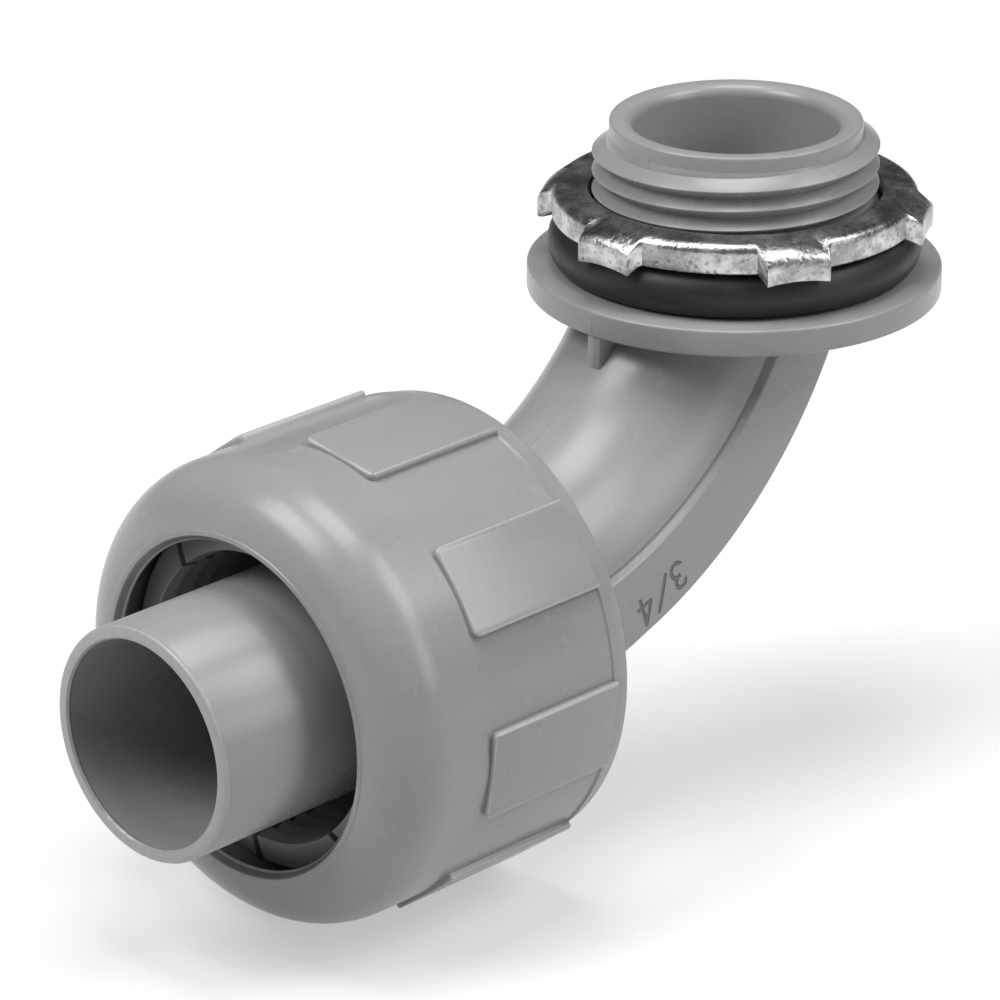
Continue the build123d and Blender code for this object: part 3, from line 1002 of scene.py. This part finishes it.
class CONDUIT_OT_stage(bpy.types.Operator):
    """Set the floor, the lights and the camera at the photograph's angle"""

    bl_idname = "conduit.stage"
    bl_label = "Stage"

    def execute(self, context):
        scene = context.scene
        colours = scene.conduit_colours
        floor_z = -46.45 * MM
        bpy.ops.mesh.primitive_plane_add(size=6.0, location=(0, 0, floor_z))
        floor = context.object
        floor.name = "floor"
        paint = Finish("floor_paint")
        rays = paint.base.node("ShaderNodeLightPath").outputs
        seen = Sock(paint.tree, rays["Is Camera Ray"]) + Sock(paint.tree, rays["Is Glossy Ray"])
        glow = (seen + Sock(paint.tree, rays["Is Transmission Ray"])).clip()
        paint.set(Base_Color=(*colours.floor, 1), Roughness=0.9, Emission_Color=glow, Emission_Strength=0.45)
        floor.data.materials.append(paint.material)

        world = bpy.data.worlds.new("studio")
        world.use_nodes = True
        world.node_tree.nodes["Background"].inputs["Color"].default_value = (1, 1, 1, 1)
        world.node_tree.nodes["Background"].inputs["Strength"].default_value = 0.08
        scene.world = world
        scene.view_settings.view_transform = "Standard"

        target = Vector((-0.02, -30.81, -14.84)) * MM
        lamps = [
            ("top_light", (0.0, 0.0, 0.80), 0.4, 3.2),
            ("left_light", (-0.22, -0.48, 0.62), 0.4, 3.9),
            ("low_left_light", (-0.40, -0.68, 0.17), 0.4, 0.4),
            ("right_light", (0.46, 0.28, 0.58), 0.4, 2.6),
            ("low_right_light", (0.70, 0.20, 0.24), 0.3, 0.8),
        ]
        for name, place, size, power in lamps:
            data = bpy.data.lights.new(name, "AREA")
            data.size = size
            data.energy = power
            lamp = bpy.data.objects.new(name, data)
            lamp.location = Vector(place) + target
            lamp.rotation_euler = (-Vector(place)).to_track_quat("-Z", "Y").to_euler()
            scene.collection.objects.link(lamp)

        azimuth = math.radians(44.41)
        elevation = math.radians(22.45)
        roll = math.radians(-0.16)
        back = Vector((
            math.sin(azimuth) * math.cos(elevation), -math.cos(azimuth) * math.cos(elevation),
            math.sin(elevation),
        ))
        right = Vector((math.cos(azimuth), math.sin(azimuth), 0))
        upward = back.cross(right)
        turned_right = right * math.cos(roll) + upward * math.sin(roll)
        turned_up = upward * math.cos(roll) - right * math.sin(roll)
        data = bpy.data.cameras.new("camera")
        data.lens = 187.97
        data.sensor_width = 36.0
        data.clip_end = 20.0
        camera = bpy.data.objects.new("camera", data)
        frame_axes = Matrix((turned_right, turned_up, back)).transposed().to_4x4()
        camera.matrix_world = Matrix.Translation(target + back * 465.2 * MM) @ frame_axes
        scene.collection.objects.link(camera)
        scene.camera = camera
        return {"FINISHED"}


class CONDUIT_OT_finishes(bpy.types.Operator):
    """Make the finishes of every piece"""

    bl_idname = "conduit.finishes"
    bl_label = "Finishes"

    def execute(self, context):
        colours = context.scene.conduit_colours
        moulded_plastic("body_plastic", tuple(colours.plastic), 0.28, context.scene.conduit_bend)
        moulded_plastic("nut_plastic", tuple(colours.plastic), 0.28, nut=context.scene.conduit_nut)
        moulded_plastic("ring_plastic", shade(tuple(colours.plastic), 0.9), 0.32)
        sealing_rubber("rubber", tuple(colours.rubber))
        zinc_plate("zinc", tuple(colours.zinc))
        return {"FINISHED"}


class CONDUIT_PT_looks(bpy.types.Panel):
    """Sizes and build steps of the conduit elbow"""

    bl_label = "Conduit elbow"
    bl_idname = "CONDUIT_PT_looks"
    bl_space_type = "VIEW_3D"
    bl_region_type = "UI"
    bl_category = "Conduit elbow"

    def draw(self, context):
        for group in ("conduit_hub", "conduit_bend", "conduit_nut", "conduit_rings", "conduit_colours"):
            settings = getattr(context.scene, group)
            box = self.layout.box()
            for name in settings.bl_rna.properties.keys():
                if name not in ("rna_type", "name"):
                    box.prop(settings, name)
        for step in STEPS:
            self.layout.operator(step.bl_idname)


GROUPS = {
    "conduit_hub": HubSizes,
    "conduit_bend": BendSizes,
    "conduit_nut": NutSizes,
    "conduit_rings": RingSizes,
    "conduit_colours": FinishColours,
}
STEPS = (
    CONDUIT_OT_finishes,
    CONDUIT_OT_hub_and_bend,
    CONDUIT_OT_gland_and_spigot,
    CONDUIT_OT_compression_nut,
    CONDUIT_OT_gripping_ring,
    CONDUIT_OT_sealing_ring,
    CONDUIT_OT_locknut,
    CONDUIT_OT_stage,
)


def register():
    """Registers the groups, the steps and the panel."""
    for name, group in GROUPS.items():
        bpy.utils.register_class(group)
        setattr(bpy.types.Scene, name, bpy.props.PointerProperty(type=group))
    for step in STEPS:
        bpy.utils.register_class(step)
    bpy.utils.register_class(CONDUIT_PT_looks)


def unregister():
    """Removes what register added."""
    bpy.utils.unregister_class(CONDUIT_PT_looks)
    for step in reversed(STEPS):
        bpy.utils.unregister_class(step)
    for name, group in GROUPS.items():
        delattr(bpy.types.Scene, name)
        bpy.utils.unregister_class(group)


def main():
    """Registers the add-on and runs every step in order."""
    register()
    bpy.ops.conduit.finishes()
    bpy.ops.conduit.hub_and_bend()
    bpy.ops.conduit.gland_and_spigot()
    bpy.ops.conduit.compression_nut()
    bpy.ops.conduit.gripping_ring()
    bpy.ops.conduit.sealing_ring()
    bpy.ops.conduit.locknut()
    bpy.ops.conduit.stage()


if __name__ == "__main__":
    main()
